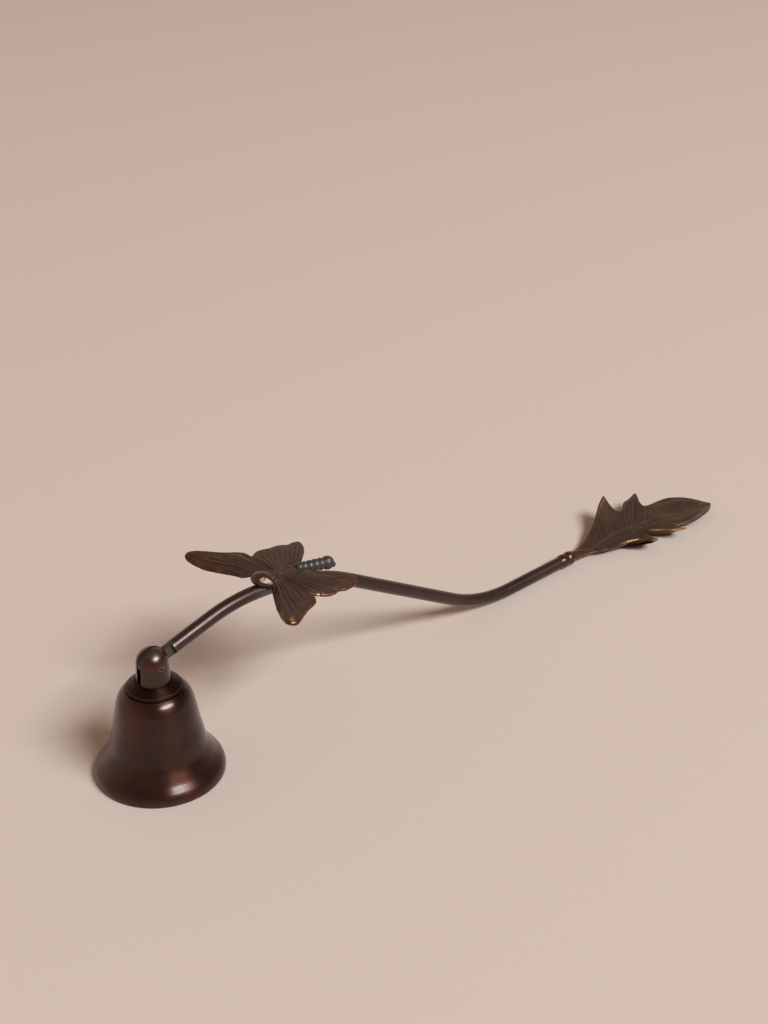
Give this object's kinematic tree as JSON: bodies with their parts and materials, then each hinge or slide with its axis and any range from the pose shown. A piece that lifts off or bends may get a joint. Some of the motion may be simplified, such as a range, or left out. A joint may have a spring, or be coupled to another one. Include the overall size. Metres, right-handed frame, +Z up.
{
  "type": "candle snuffer",
  "caption": "Candle snuffer: a small flared bell hinged to one end of a long curved rod, with a butterfly on the rod and a lobed leaf as its end.",
  "frame": {"origin": "centre of the bell's mouth, on the plane that the whole snuffer lies on", "axes": "+Z is up the bell's axis, from its mouth to the hinge; +X runs along the handle from the bell to the leaf; +Y is along the hinge pin, to the left when looking along +X"},
  "size_m": [0.3165, 0.061, 0.0591],
  "materials": {
    "bell": "dark bronze patina over brass, smooth and softly polished, with a reddish tone",
    "bell_collar": "dark bronze patina, turned, with fine turning rings",
    "clevis_knob": "dark bronze patina, smooth, rubbed brighter on its round head",
    "crown_washer": "plain brass, dull",
    "crown_nut": "plain brass, dull",
    "hinge_pin": "brass with patina worn off its ends",
    "handle_rod": "dark bronze patina over drawn brass rod, smooth and semi-gloss",
    "butterfly_wings": "dark grey-brown patina, matt, brass showing where the edges are rubbed",
    "butterfly_body": "dark bronze patina, smooth head and ringed abdomen with greenish hollows",
    "butterfly_braze": "braze metal under the same dark patina, slightly rough",
    "leaf": "dark grey-brown patina, matt, brass showing on ribs and edges",
    "leaf_braze": "braze metal under the same dark patina, slightly lumpy"
  },
  "bodies": {
    "handle": {"handle_rod": "handle_rod", "butterfly_wings": "butterfly_wings", "butterfly_body": "butterfly_body", "butterfly_braze": "butterfly_braze", "leaf": "leaf", "leaf_braze": "leaf_braze"},
    "bell": {"bell": "bell", "bell_collar": "bell_collar", "clevis_knob": "clevis_knob", "crown_washer": "crown_washer", "crown_nut": "crown_nut", "hinge_pin": "hinge_pin"}
  },
  "joints": [
    {"name": "bell_hinge", "type": "hinge", "parent": "handle", "child": "bell", "pos_m": [0, 0, 0.0433], "axis": [0, 1, 0], "range_deg": [-43, 191]}
  ]
}
